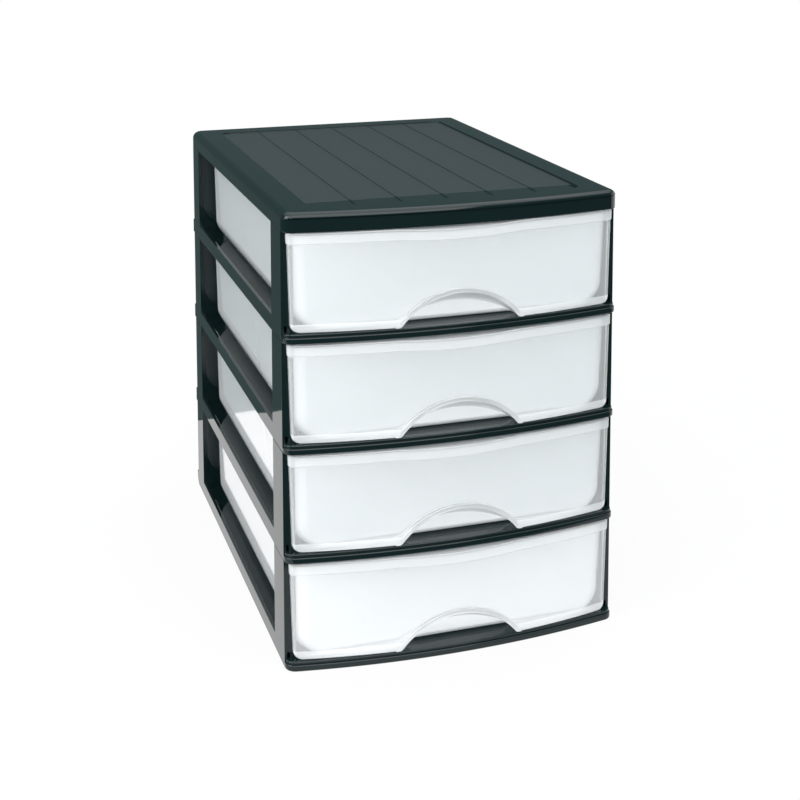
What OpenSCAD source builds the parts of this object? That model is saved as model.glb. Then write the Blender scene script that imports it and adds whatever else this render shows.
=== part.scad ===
// Desktop letter tray tower: four stacked open frames with a clear drawer in each.
// The origin is on the floor, under the middle of the tower. The drawers open toward -Y.

/* [Tower] */
// Width over the side frames
tower_w = 255; // [235:1:300]
// Depth of the side frames, from front post to rear post
frame_d = 348; // [330:1:400]
// Height of one tier, from one deck to the next
tier_h = 80; // [70:1:110]

/* [Front edges] */
// How far the front edges stand out ahead of the posts at the corners
lip_reach = 7.5; // [7.5:0.5:12]
// How much further they stand out in the middle
front_bow = 12; // [8:0.5:16]
// Radius of the rounded corners of the front edges
corner_r = 8; // [5:0.5:8]

/* [Decks] */
// Height of the sliding surface above the underside of the tier
deck_top = 7; // [6.5:0.1:9]
// Thickness of the deck plate
deck_t = 2.8; // [2:0.1:3.5]
// Height of the lower band of the front edge
band_h = 4.6; // [4:0.1:5]
// Height of the groove above that band
groove_h = 0.6; // [0.4:0.1:1]
// Depth of that groove
groove_d = 1.4; // [1:0.1:2]
// How far the upper band of the front edge is set back
band_step = 0.8; // [0.4:0.1:1]
// Thickness of the ribs under the decks and the cover
rib_t = 2; // [1.5:0.1:3]
// Clearance between the underside of the tier and the ribs
rib_lift = 0.5; // [0.3:0.1:1]
// Distance of the drawer stop rib behind the front posts' front face
stop_y = 48; // [40:1:70]

/* [Side frames] */
// Height of the side rail
rail_h = 11.6; // [10:0.1:15]
// Thickness of the side rail
rail_t = 4; // [3:0.1:5]
// Radius of the rail's top edges
rail_r = 1.9; // [1:0.1:1.9]
// Width of the ledge that carries the deck
ledge_w = 4; // [3:0.5:6]
// Depth of the front post
front_post_d = 30; // [24:1:36]
// Width of the front post, across the tower
front_post_w = 7; // [6:0.5:9]
// Depth of the rear post
rear_post_d = 31; // [24:1:36]
// Width of the rear post, across the tower
rear_post_w = 22; // [18:1:30]
// Wall thickness of the posts
post_wall = 2.2; // [1.8:0.1:2.5]
// Thickness of the plates that close the posts at top and bottom
post_end = 3; // [2.5:0.1:4]
// Radius of the outer rear corner of the rear posts
post_r = 5; // [2:0.5:6]
// Radius of the lower rear corner of the bottom side frames
base_r = 8; // [4:0.5:12]

/* [Pegs] */
// Height of the pegs that join one tier to the next
peg_h = 4; // [3.5:0.1:6]
// Width of a front post's peg
peg_w = 3; // [2.5:0.1:3.2]
// Length of each peg, front to back
peg_l = 14; // [8:0.5:16]
// Width of a rear post's peg
rear_peg_w = 7; // [4:0.5:9]
// Clearance around a peg in its socket
peg_gap = 0.2; // [0.1:0.05:0.3]

/* [Drawer trays] */
// Wall thickness of the tray
tray_t = 2; // [1.5:0.1:3]
// Clearance between the tray and the front post on each side
side_gap = 1; // [0.6:0.1:2]
// Clearance between the tray and the deck
floor_gap = 0.2; // [0.1:0.05:0.3]
// Height left free above the tray's rim
rim_gap = 3.8; // [3:0.1:6]
// How much narrower the tray is at its floor, on each side
draft = 2; // [0.5:0.1:3]
// Radius of the long lower edges
edge_r = 17; // [10:0.5:20]
// Radius of the upright rear corners
rear_corner_r = 20; // [12:0.5:26]
// Distance between the back of the tray and the rear posts
back_gap = 15; // [8:1:30]
// Distance of the tray's front wall ahead of the front posts
front_wall_y = 4; // [4:0.1:4.5]
// Height of the stop tabs above the tray's rim
tab_rise = 5.8; // [5:0.1:6]
// Width of each stop tab
tab_w = 14; // [8:1:20]
// Distance of each stop tab from the middle
tab_x = 57; // [50:1:64]

/* [Drawer fronts] */
// Thickness of the front panel
panel_t = 2.2; // [1.6:0.1:2.4]
// How far the middle of the front panel's face is set back behind the front edges
panel_setback = 0.6; // [0.6:0.1:2]
// How far the panel's face bows forward
panel_bow = 14.2; // [12:0.1:15]
// Width of post left bare beside the front panel's top band
post_show = 3.3; // [3:0.1:4]
// Height left free above the front panel
panel_top_gap = 1.5; // [1.3:0.1:2]
// Clearance between the front panel and the deck
panel_floor_gap = 0.4; // [0.3:0.1:1]
// How much narrower the panel is at its lower edge, on each side
panel_draft = 2; // [1:0.1:2.5]
// Radius of the panel's lower corners
panel_r = 5; // [2:0.5:6]
// Radius of the panel's upright corners
panel_corner_r = 3; // [2:0.5:3.5]
// Depth of the shallow dip in the middle of the rim
rim_dip = 1.8; // [1:0.1:2.5]
// Width of that dip
rim_dip_w = 92; // [70:1:110]
// Height of the band along the panel's top
rim_band_h = 8; // [5:0.5:12]
// Height of the band along the panel's lower edge
foot_band_h = 5.5; // [3:0.5:7]
// How far the bands and the arch stand proud of the panel
band_proud = 0.6; // [0.5:0.1:1.2]
// Radius of the arched finger pull
arch_r = 56; // [50:0.5:60]
// Height of the arched opening above the deck
arch_h = 22.2; // [18:0.1:26]
// Width of the raised band around the arch
arch_band = 3.2; // [2:0.1:5]
// Radius at the arch's feet, where it turns out along the panel's lower edge
foot_r = 3; // [1:0.5:5]
// How far behind the panel's face the pull's ceiling begins to fall
throat_d = 4.2; // [3:0.1:6]
// How far the pull's ceiling falls from there to the tray
hood_fall = 9.2; // [6:0.1:11]
// Wall of the hood over the finger pull
hood_t = 2; // [1.5:0.1:2.5]

/* [Top cover] */
// Height of the cover above the posts
cover_h = 13.5; // [12:0.5:18]
// Wall thickness of the cover
cover_t = 2.4; // [2:0.1:3]
// How far the cover stands out behind the rear posts
cover_rear = 3.4; // [2:0.2:6]
// Radius of the cover's long upper edges
cover_edge_r = 6; // [3:0.5:8]
// Radius of the cover's rear corners
cover_corner_r = 9; // [5:0.5:12]
// Height of the nose along the cover's front
nose_h = 4.3; // [3:0.1:6]
// How far the nose stands out ahead of the fascia
nose_out = 1; // [0.5:0.1:2]
// How far the fascia reaches down below the posts' tops
fascia_drop = 1; // [0.5:0.1:1]
// Width of the plain margin around the sunk panel
margin = 23; // [18:0.5:30]
// Depth of the sunk panel
sunk = 1.5; // [1:0.1:2]
// Radius of the sunk panel's corners
sunk_r = 8; // [4:0.5:12]
// How much the sunk panel's front edge is bowed
sunk_bow = 5; // [3:0.5:8]
// Width of the grooves between the planks
plank_gap = 1.2; // [0.8:0.1:2]
// Depth of the grooves between the planks
plank_cut = 0.6; // [0.4:0.1:1]

/* [Hidden] */
tiers = 4;
planks = 6;
$fn = 96;
// Segments of the very large circles behind the drawer fronts
bow_fn = 720;
// Steps along a bowed front edge and around its corners
bow_steps = 60;
corner_steps = 12;
// Clearance between pieces that are pushed together
fit = 0.2;
// Overshoot of cutting shapes
cut = 1;

half_w = tower_w / 2;
// Frontmost line of the tower, measured from the front posts' front face
lip_front = -(lip_reach + front_bow);
// Radius of the bowed front edges; all of them share one centre
bow_r = (half_w * half_w + front_bow * front_bow) / (2 * front_bow);
// The tower's middle, measured from the front posts' front face
mid_y = (frame_d + cover_rear + lip_front) / 2;

rear_post_y = frame_d - rear_post_d;
deck_under = deck_top - deck_t;
deck_end = frame_d - post_wall;
rib_x = [-92, -30, 30, 92];
front_peg_x = post_wall + (front_post_w - post_wall - peg_w) / 2;
front_peg_y = (front_post_d - peg_l) / 2;
rear_peg_x = (rear_post_w - rear_peg_w) / 2;
rear_peg_y = rear_post_y + (rear_post_d - peg_l) / 2;

tray_half = half_w - front_post_w - side_gap;
tray_z = deck_top + floor_gap;
tray_rim = tier_h - rim_gap;
tray_back = rear_post_y - back_gap;
// Radius where the tray's floor meets its front wall
tray_front_r = 4;
// How far outside the slanted walls the rounded rear corners begin
corner_ease = 0.06;
tab_t = 3;

panel_half = half_w - post_show - band_proud;
panel_z = deck_top + panel_floor_gap;
panel_top = tier_h - panel_top_gap;
panel_h = panel_top - panel_z;
// Line to which the panel's side returns reach, just ahead of the posts
return_y = -0.4;
panel_foot_half = panel_half - panel_draft;
// Frontmost line of the panel's face, and the radius of its bow
face_y = lip_front + panel_setback;
face_bow_r = (panel_half * panel_half + panel_bow * panel_bow) / (2 * panel_bow);
rim_dip_r = (rim_dip_w * rim_dip_w / 4 + rim_dip * rim_dip) / (2 * rim_dip);
throat_y = face_y + throat_d;
// Step up to the pull's ceiling at the throat
throat_step = 0.4;
foot_proud = band_proud / 2;
arch_z = panel_z + arch_h - arch_r;

cover_z = tiers * tier_h;
cover_top = cover_z + cover_h;
cover_back = frame_d + cover_rear;
sunk_w = tower_w - 2 * margin;
sunk_half = sunk_w / 2;
sunk_front = lip_front + margin;
sunk_back = cover_back - margin;
sunk_bow_r = (sunk_half * sunk_half + sunk_bow * sunk_bow) / (2 * sunk_bow);
cavity_top = cover_top - sunk - cover_t;

module centred() {
    translate([0, -mid_y, 0]) children();
}

module both_sides() {
    children();
    mirror([1, 0, 0]) children();
}

// Points along an arc around (x, y), from angle a0 to angle a1.
function arc(x, y, r, a0, a1, steps) =
    [for (i = [0 : steps]) let (a = a0 + (a1 - a0) * i / steps) [x + r * cos(a), y + r * sin(a)]];

// Outline with a bowed front, rounded front corners and rounded or square rear corners.
// w is its width, y_front its frontmost line, r_bow the bow's radius, r the front corners' radius,
// y_back its rear line and r_back the rear corners' radius.
module bowed_plan(w, y_front, r_bow, r, y_back, r_back = 0) {
    bow_y = y_front + r_bow;
    corner_x = w / 2 - r;
    corner_y = bow_y - sqrt(pow(r_bow - r, 2) - corner_x * corner_x);
    spread = asin(corner_x / (r_bow - r));
    rear_steps = r_back > 0 ? corner_steps : 1;
    polygon(concat(
        arc(-corner_x, corner_y, r, 180, 270 - spread, corner_steps),
        arc(0, bow_y, r_bow, 270 - spread, 270 + spread, bow_steps),
        arc(corner_x, corner_y, r, 270 + spread, 360, corner_steps),
        arc(w / 2 - r_back, y_back - r_back, r_back, 0, 90, rear_steps),
        arc(r_back - w / 2, y_back - r_back, r_back, 90, 180, rear_steps)
    ));
}

// Upright outline that narrows by slant on each side toward its floor, with rounded lower corners.
module slanted_profile(half_top, z_low, z_high, slant, r) {
    lean = atan(slant / (z_high - z_low));
    round_x = half_top - slant + r * tan(lean) - r / cos(lean);
    polygon(concat(
        arc(-round_x, z_low + r, r, 180 + lean, 270, corner_steps),
        arc(round_x, z_low + r, r, 270, 360 - lean, corner_steps),
        [[half_top, z_high], [-half_top, z_high]]
    ));
}

// A profile drawn in X and Z, run from y0 to y1.
module along_y(y0, y1) {
    translate([0, y1, 0]) rotate([90, 0, 0]) linear_extrude(y1 - y0) children();
}

// ---------- decks ----------

module lip_plan(inset) {
    bowed_plan(tower_w - 2 * inset, lip_front + inset, bow_r - inset, corner_r - inset, 0);
}

module front_lip() {
    groove_z = band_h + groove_h;
    linear_extrude(band_h) lip_plan(0);
    translate([0, 0, band_h]) linear_extrude(groove_h) lip_plan(groove_d);
    translate([0, 0, groove_z]) linear_extrude(deck_top - groove_z) lip_plan(band_step);
}

module deck_plate() {
    half_front = half_w - front_post_w - fit;
    half_mid = half_w - rail_t - fit;
    half_rear = half_w - rear_post_w - fit;
    front_y = front_post_d + fit;
    rear_y = rear_post_y - fit;
    translate([0, 0, deck_under]) linear_extrude(deck_t) polygon([
        [-half_front, -cut], [half_front, -cut], [half_front, front_y], [half_mid, front_y],
        [half_mid, rear_y], [half_rear, rear_y], [half_rear, deck_end], [-half_rear, deck_end],
        [-half_rear, rear_y], [-half_mid, rear_y], [-half_mid, front_y], [-half_front, front_y]
    ]);
}

// Ribs that hang from a plate at z_top: one across, which stops the drawer below, and four lengthways.
module ribs(z_low, z_top, y_end) {
    span = tower_w - 2 * (rail_t + ledge_w + 2 * fit);
    height = z_top - z_low;
    translate([-span / 2, stop_y, z_low]) cube([span, rib_t, height]);
    for (x = rib_x) translate([x - rib_t / 2, stop_y, z_low]) cube([rib_t, y_end - stop_y, height]);
}

module deck(tier) {
    half_rear = half_w - rear_post_w - fit;
    color("#2c3437") centred() translate([0, 0, (tier - 1) * tier_h]) {
        front_lip();
        deck_plate();
        ribs(rib_lift, deck_under + cut / 2, deck_end - rib_t / 2);
        translate([-half_rear, deck_end - rib_t, rib_lift])
            cube([2 * half_rear, rib_t, deck_under - rib_lift + cut / 2]);
    }
}

// ---------- side frames, drawn for the left side with x = 0 on the outer face ----------

module rail_profile() {
    polygon([
        [0, 0], [rail_t, 0], [rail_t, rail_h - rail_r], [rail_t - rail_r, rail_h],
        [rail_r, rail_h], [0, rail_h - rail_r]
    ]);
    translate([rail_r, rail_h - rail_r]) circle(rail_r);
    translate([rail_t - rail_r, rail_h - rail_r]) circle(rail_r);
}

module rail() {
    ledge_y = front_post_d + fit;
    along_y(0, frame_d) rail_profile();
    translate([rail_t - cut, ledge_y, rib_lift])
        cube([ledge_w + cut, rear_post_y - fit - ledge_y, deck_under - rib_lift]);
}

module front_post() {
    pocket = [front_post_w, front_post_d - 2 * post_wall, tier_h - 2 * post_end];
    difference() {
        cube([front_post_w, front_post_d, tier_h]);
        translate([post_wall, post_wall, post_end]) cube(pocket);
    }
    translate([front_peg_x, front_peg_y, tier_h - cut]) cube([peg_w, peg_l, peg_h + cut]);
}

module rear_post_plan() {
    polygon([
        [0, rear_post_y], [rear_post_w, rear_post_y], [rear_post_w, frame_d],
        [post_r, frame_d], [0, frame_d - post_r]
    ]);
    translate([post_r, frame_d - post_r]) circle(post_r);
}

module rear_post() {
    mid_z = (tier_h - rib_t) / 2;
    difference() {
        linear_extrude(tier_h) rear_post_plan();
        translate([post_wall, rear_post_y + post_wall, post_end])
            cube([rear_post_w - 2 * post_wall, rear_post_d, tier_h - 2 * post_end]);
        translate([post_wall, rear_post_y - cut, rail_h + rail_r])
            cube([groove_h, cut + groove_h, tier_h - rail_h - rail_r - post_end]);
    }
    translate([post_wall - fit, rear_post_y + fit, mid_z])
        cube([rear_post_w - 2 * post_wall + 2 * fit, rear_post_d - post_wall, rib_t]);
    translate([rear_peg_x, rear_peg_y, tier_h - cut]) cube([rear_peg_w, peg_l, peg_h + cut]);
}

module sockets() {
    deep = peg_h + peg_gap + cut;
    grown = 2 * peg_gap;
    translate([front_peg_x - peg_gap, front_peg_y - peg_gap, -cut]) cube([peg_w + grown, peg_l + grown, deep]);
    translate([rear_peg_x - peg_gap, rear_peg_y - peg_gap, -cut])
        cube([rear_peg_w + grown, peg_l + grown, deep]);
}

// The corner that is rounded away from the lower rear end of the bottom frames.
module base_corner() {
    difference() {
        translate([-cut, frame_d - base_r, -cut]) cube([rear_post_w + 2 * cut, base_r + cut, base_r + cut]);
        translate([-2 * cut, frame_d - base_r, base_r]) rotate([0, 90, 0])
            cylinder(h = rear_post_w + 4 * cut, r = base_r);
    }
}

module side_frame(tier) {
    difference() {
        union() {
            rail();
            front_post();
            rear_post();
        }
        sockets();
        if (tier == 1) base_corner();
    }
}

module side_frame_left(tier) {
    color("#343c3f") centred() translate([-half_w, 0, (tier - 1) * tier_h]) side_frame(tier);
}

module side_frame_right(tier) {
    color("#343c3f") centred() mirror([1, 0, 0]) translate([-half_w, 0, (tier - 1) * tier_h]) side_frame(tier);
}

// ---------- drawers ----------

// The tray's outside, shrunk by inset on every side but the top.
module tray_form(inset, z_high) {
    front_y = -front_wall_y + inset;
    back_y = tray_back - inset;
    z_low = tray_z + inset;
    slope = draft / (tray_rim - tray_z);
    half = tray_half - inset + slope * (z_high - tray_rim);
    wide = tray_half + cut;
    intersection() {
        along_y(front_y - cut, back_y + cut)
            slanted_profile(half, z_low, z_high, slope * (z_high - z_low), edge_r - inset);
        translate([0, 0, z_low - cut]) linear_extrude(z_high - z_low + 2 * cut)
            rear_corners(tray_half - inset + corner_ease, wide, front_y - cut, back_y, rear_corner_r - inset);
        translate([-wide, 0, 0]) rotate([90, 0, 90]) linear_extrude(2 * wide)
            side_profile(front_y, back_y, z_low, z_high + cut, edge_r - inset, max(tray_front_r - inset, cut));
    }
}

// The tray seen from above, drawn wider than it is and true only at its rounded rear corners.
module rear_corners(half, wide, y0, y1, r) {
    polygon(concat(
        [[-wide, y1 - r], [-wide, y0], [wide, y0], [wide, y1 - r]],
        arc(half - r, y1 - r, r, 0, 90, corner_steps),
        arc(r - half, y1 - r, r, 90, 180, corner_steps)
    ));
}

// The tray seen from the side: a rounded lower edge in front and a larger one behind.
module side_profile(y0, y1, z0, z1, r_back, r_front) {
    polygon(concat(
        [[y0, z1]],
        arc(y0 + r_front, z0 + r_front, r_front, 180, 270, corner_steps),
        arc(y1 - r_back, z0 + r_back, r_back, 270, 360, corner_steps),
        [[y1, z1]]
    ));
}

module drawer_tray(tier) {
    tab_low = tray_rim - 2 * tab_t;
    color("#dfe6ea") centred() translate([0, 0, (tier - 1) * tier_h]) {
        difference() {
            tray_form(0, tray_rim);
            tray_form(tray_t, tray_rim + cut);
        }
        both_sides() translate([tab_x - tab_w / 2, tray_back - tray_t - tab_t + fit, tab_low])
            cube([tab_w, tab_t, tray_rim + tab_rise - tab_low]);
    }
}

// Outline of the front panel, shrunk by inset on every side: it narrows toward its rounded lower corners.
module panel_outline(inset) {
    slope = panel_draft / panel_h;
    slanted_profile(panel_half - inset * (1 + slope), panel_z + inset, panel_top - inset,
        slope * (panel_h - 2 * inset), panel_r - inset);
}

// The room behind the panel's bowed face, which is moved back by depth.
module behind_face(depth) {
    translate([0, face_y + face_bow_r, 0]) linear_extrude(tier_h) circle(face_bow_r - depth, $fn = bow_fn);
}

// What stands ahead of the panel's face by up to proud, within a profile drawn in X and Z.
module raised(proud) {
    intersection() {
        behind_face(-proud);
        along_y(lip_front, return_y) children();
    }
}

// The round dip in the middle of the rim, widened by grow.
module rim_dip_circle(grow) {
    translate([0, panel_top - rim_dip + rim_dip_r]) circle(rim_dip_r + grow, $fn = bow_fn);
}

module rim_band_outline() {
    half = panel_half + band_proud;
    low = panel_top - rim_band_h;
    translate([-half, low]) square([2 * half, rim_band_h]);
    intersection() {
        rim_dip_circle(rim_band_h);
        translate([-half, low - rim_dip]) square([2 * half, rim_band_h]);
    }
}

// What is rounded away from the panel's upright corners, which lean like its sides.
module corner_waste() {
    lean = atan(panel_draft / panel_h);
    turn = asin(panel_half / face_bow_r);
    rise = atan(panel_draft * tan(turn) / panel_h);
    r = panel_corner_r;
    corner_x = panel_half - r;
    corner_y = face_y + face_bow_r - sqrt(pow(face_bow_r - r, 2) - corner_x * corner_x);
    both_sides() translate([corner_x, corner_y, panel_top]) rotate([-rise, lean, 0])
        translate([0, 0, -tier_h]) linear_extrude(tier_h + cut)
            polygon(concat(
                arc(0, 0, r, turn - 90, 0, corner_steps),
                [[r + cut, 0], [r + cut, -r - cut], [(r + cut) * sin(turn), -(r + cut) * cos(turn)]]
            ));
}

module drawer_front_shell() {
    foot_half = panel_foot_half - panel_r;
    difference() {
        union() {
            difference() {
                raised(0) panel_outline(0);
                corner_waste();
            }
            raised(band_proud) rim_band_outline();
            raised(foot_proud) translate([-foot_half, panel_z]) square([2 * foot_half, foot_band_h]);
        }
        intersection() {
            behind_face(panel_t);
            along_y(lip_front, cut) difference() {
                panel_outline(panel_t);
                rim_dip_circle(panel_t);
            }
        }
        along_y(lip_front - cut, cut) rim_dip_circle(0);
        // room for the tray's front wall
        translate([-tray_half - fit, -front_wall_y - fit, 0])
            cube([2 * (tray_half + fit), front_wall_y + fit + cut, tray_rim + fit / 2]);
    }
}

// Outline of the finger pull: an arch whose feet turn out along the lower edge.
module arch_outline() {
    foot_z = panel_z + foot_r;
    foot_x = sqrt(pow(arch_r + foot_r, 2) - pow(foot_z - arch_z, 2));
    turn = asin((foot_z - arch_z) / (arch_r + foot_r));
    polygon(concat(
        [[-foot_x, panel_z - cut]],
        arc(-foot_x, foot_z, foot_r, 270, 360 - turn, corner_steps),
        arc(0, arch_z, arch_r, 180 - turn, turn, bow_steps),
        arc(foot_x, foot_z, foot_r, 180 + turn, 270, corner_steps),
        [[foot_x, panel_z - cut]]
    ));
}

// A tube from y0 to y1, above z0, whose crown falls from the throat toward the tray.
module falling_tube(grow, y0, y1, z0) {
    fall = atan(hood_fall / (-front_wall_y - throat_y));
    r = arch_r / cos(fall);
    intersection() {
        translate([0, throat_y, panel_z + arch_h + throat_step]) rotate([-90 - fall, 0, 0])
            translate([0, r, -arch_r]) cylinder(h = 3 * arch_r, r = r + grow);
        translate([-half_w, y0, z0]) cube([tower_w, y1 - y0, tier_h]);
    }
}

// The raised arch and the hood behind it, which reaches back to the tray's front wall.
module arch_hood() {
    intersection() {
        behind_face(-band_proud);
        along_y(lip_front, throat_y) intersection() {
            translate([0, arch_z]) circle(arch_r + arch_band);
            translate([-half_w, panel_z]) square([tower_w, tier_h]);
        }
    }
    falling_tube(hood_t, throat_y - band_proud, -front_wall_y - fit, panel_z);
}

// The finger pull's room: straight through the panel, then with a ceiling that falls toward the tray.
module arch_room() {
    along_y(lip_front - cut, throat_y) arch_outline();
    falling_tube(0, throat_y, cut, 0);
}

module drawer_front(tier) {
    color("#e9eef0") centred() translate([0, 0, (tier - 1) * tier_h]) difference() {
        union() {
            drawer_front_shell();
            arch_hood();
        }
        arch_room();
    }
}

// ---------- top cover ----------

module cover_plan(inset, front_inset) {
    bowed_plan(tower_w - 2 * inset, lip_front + front_inset, bow_r - front_inset, corner_r - inset,
        cover_back - inset, cover_corner_r - inset);
}

// What is rounded away from the cover's long upper edges, drawn across the cover.
module edge_waste() {
    edge_x = half_w - cover_edge_r;
    edge_z = cover_top - cover_edge_r;
    both_sides() polygon(concat(
        arc(edge_x, edge_z, cover_edge_r, 0, 90, corner_steps),
        [[edge_x, cover_top + cut], [half_w + cut, cover_top + cut], [half_w + cut, edge_z]]
    ));
}

module cover_shell() {
    difference() {
        union() {
            translate([0, 0, cover_z]) linear_extrude(cover_h) cover_plan(0, nose_out);
            translate([0, 0, cover_top - nose_h]) linear_extrude(nose_h) cover_plan(0, 0);
        }
        along_y(lip_front - cut, cover_back + cut) edge_waste();
        translate([0, 0, cover_z - cut]) linear_extrude(cavity_top - cover_z + cut)
            cover_plan(cover_t, cover_t + nose_out);
    }
}

// The part of the fascia that hangs in front of the posts.
module fascia_hem() {
    intersection() {
        translate([0, 0, cover_z - fascia_drop]) linear_extrude(fascia_drop + cut) difference() {
            cover_plan(0, nose_out);
            cover_plan(cover_t, cover_t + nose_out);
        }
        translate([-half_w, lip_front, cover_z - 2 * cut]) cube([tower_w, -lip_front - fit, 4 * cut]);
    }
}

module sunk_panel() {
    plank_w = sunk_w / planks;
    translate([0, 0, cover_top - sunk]) linear_extrude(sunk + cut)
        bowed_plan(sunk_w, sunk_front, sunk_bow_r, sunk_r, sunk_back, sunk_r);
    intersection() {
        translate([0, 0, cover_top - sunk - plank_cut]) linear_extrude(plank_cut + cut)
            bowed_plan(sunk_w, sunk_front, sunk_bow_r, sunk_r, sunk_back, sunk_r);
        for (i = [1 : planks - 1])
            translate([-sunk_half + i * plank_w - plank_gap / 2, sunk_front, cover_top - sunk - plank_cut])
                cube([plank_gap, sunk_back - sunk_front, plank_cut + cut]);
    }
}

// Blocks inside the cover that stand on the posts and take their pegs.
module cover_seats() {
    seat_h = cavity_top - cover_z + cut / 2;
    seat_x = cover_t - cut / 2;
    difference() {
        union() {
            translate([seat_x, 0, 0]) cube([front_post_w - seat_x, front_post_d, seat_h]);
            translate([seat_x, rear_post_y, 0]) cube([rear_post_w - seat_x, rear_post_d, seat_h]);
        }
        sockets();
    }
}

module top_cover() {
    color("#3c4649") centred() {
        difference() {
            cover_shell();
            sunk_panel();
        }
        fascia_hem();
        both_sides() translate([-half_w, 0, cover_z]) cover_seats();
        translate([0, 0, cover_z]) ribs(rib_lift, cavity_top - cover_z + cut / 2, cover_back - cover_t);
    }
}

top_cover();
for (i = [1 : tiers]) {
    deck(i);
    side_frame_left(i);
    side_frame_right(i);
    drawer_tray(i);
    drawer_front(i);
}
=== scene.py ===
"""Looks, light and camera for a desktop tower of letter trays with clear drawers.

Lengths are in millimetres in the tower's own frame: x runs to the right seen from
the front, y runs back from the front posts' front face, and z runs up from the
table. Workshop.deliver turns a finished mesh into metres in the shared frame.
"""

import logging
import math
from collections.abc import Callable, Iterable
from dataclasses import dataclass, replace
from enum import Enum

import bmesh
import bpy
from mathutils import Matrix, Vector


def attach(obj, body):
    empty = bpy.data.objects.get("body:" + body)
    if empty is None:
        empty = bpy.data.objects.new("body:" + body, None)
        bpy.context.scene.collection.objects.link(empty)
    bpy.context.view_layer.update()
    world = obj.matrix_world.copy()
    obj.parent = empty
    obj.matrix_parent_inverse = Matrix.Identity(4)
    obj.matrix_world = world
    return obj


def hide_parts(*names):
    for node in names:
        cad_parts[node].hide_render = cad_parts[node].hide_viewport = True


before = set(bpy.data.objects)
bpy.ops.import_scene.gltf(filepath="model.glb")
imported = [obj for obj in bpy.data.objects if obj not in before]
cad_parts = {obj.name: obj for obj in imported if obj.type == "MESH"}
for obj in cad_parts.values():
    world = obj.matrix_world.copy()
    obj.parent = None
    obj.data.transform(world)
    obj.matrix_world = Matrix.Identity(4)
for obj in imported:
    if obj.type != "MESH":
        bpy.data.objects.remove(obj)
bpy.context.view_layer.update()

MM = 0.001
TIERS = 4
PHOTO_PX = 800
QUARTER = math.pi / 2
WELD = 0.004
LOG = logging.getLogger("letter_tower")

BMesh = bmesh.types.BMesh
Edges = list[bmesh.types.BMEdge]
Material = bpy.types.Material
Socket = bpy.types.NodeSocket
Point = tuple[float, float, float]
Colour = tuple[float, float, float]
Value = float | tuple[float, ...] | Socket


class Side(Enum):
    """Which half of the tower a piece belongs to."""

    LEFT = "left"
    RIGHT = "right"


# ---------------------------------------------------------------- sizes


@dataclass(frozen=True)
class TowerSize:
    """Sizes that several pieces share."""

    width: float = 255.0
    frame_depth: float = 348.0
    tier: float = 80.0
    lip_reach: float = 7.5
    bow: float = 12.0
    corner: float = 8.0
    deck_top: float = 7.0
    front_post_depth: float = 30.0
    front_post_width: float = 7.0
    rear_post_depth: float = 31.0
    rear_post_width: float = 22.0
    cover_height: float = 13.5
    cover_rear: float = 3.4
    rib: float = 2.0
    rib_margin: float = 8.4
    rib_soft: float = 0.25
    bite: float = 0.4
    rib_places: tuple[float, ...] = (-92.0, -30.0, 30.0, 92.0)
    stop: float = 48.0

    @property
    def half(self) -> float:
        """Half the tower's width."""
        return self.width / 2

    @property
    def front(self) -> float:
        """Frontmost line of the tower."""
        return -(self.lip_reach + self.bow)

    @property
    def bow_radius(self) -> float:
        """Radius of the bowed front edges."""
        return (self.half**2 + self.bow**2) / (2 * self.bow)

    @property
    def middle(self) -> float:
        """The line under the middle of the tower, front to back."""
        return (self.frame_depth + self.cover_rear + self.front) / 2

    @property
    def rear_post(self) -> float:
        """Front face of the rear posts."""
        return self.frame_depth - self.rear_post_depth

    def floor_of(self, tier: int) -> float:
        """Height of the underside of a tier, tier 1 being the lowest."""
        return (tier - 1) * self.tier


SIZE = TowerSize()


# ---------------------------------------------------------------- mesh tools


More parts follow.
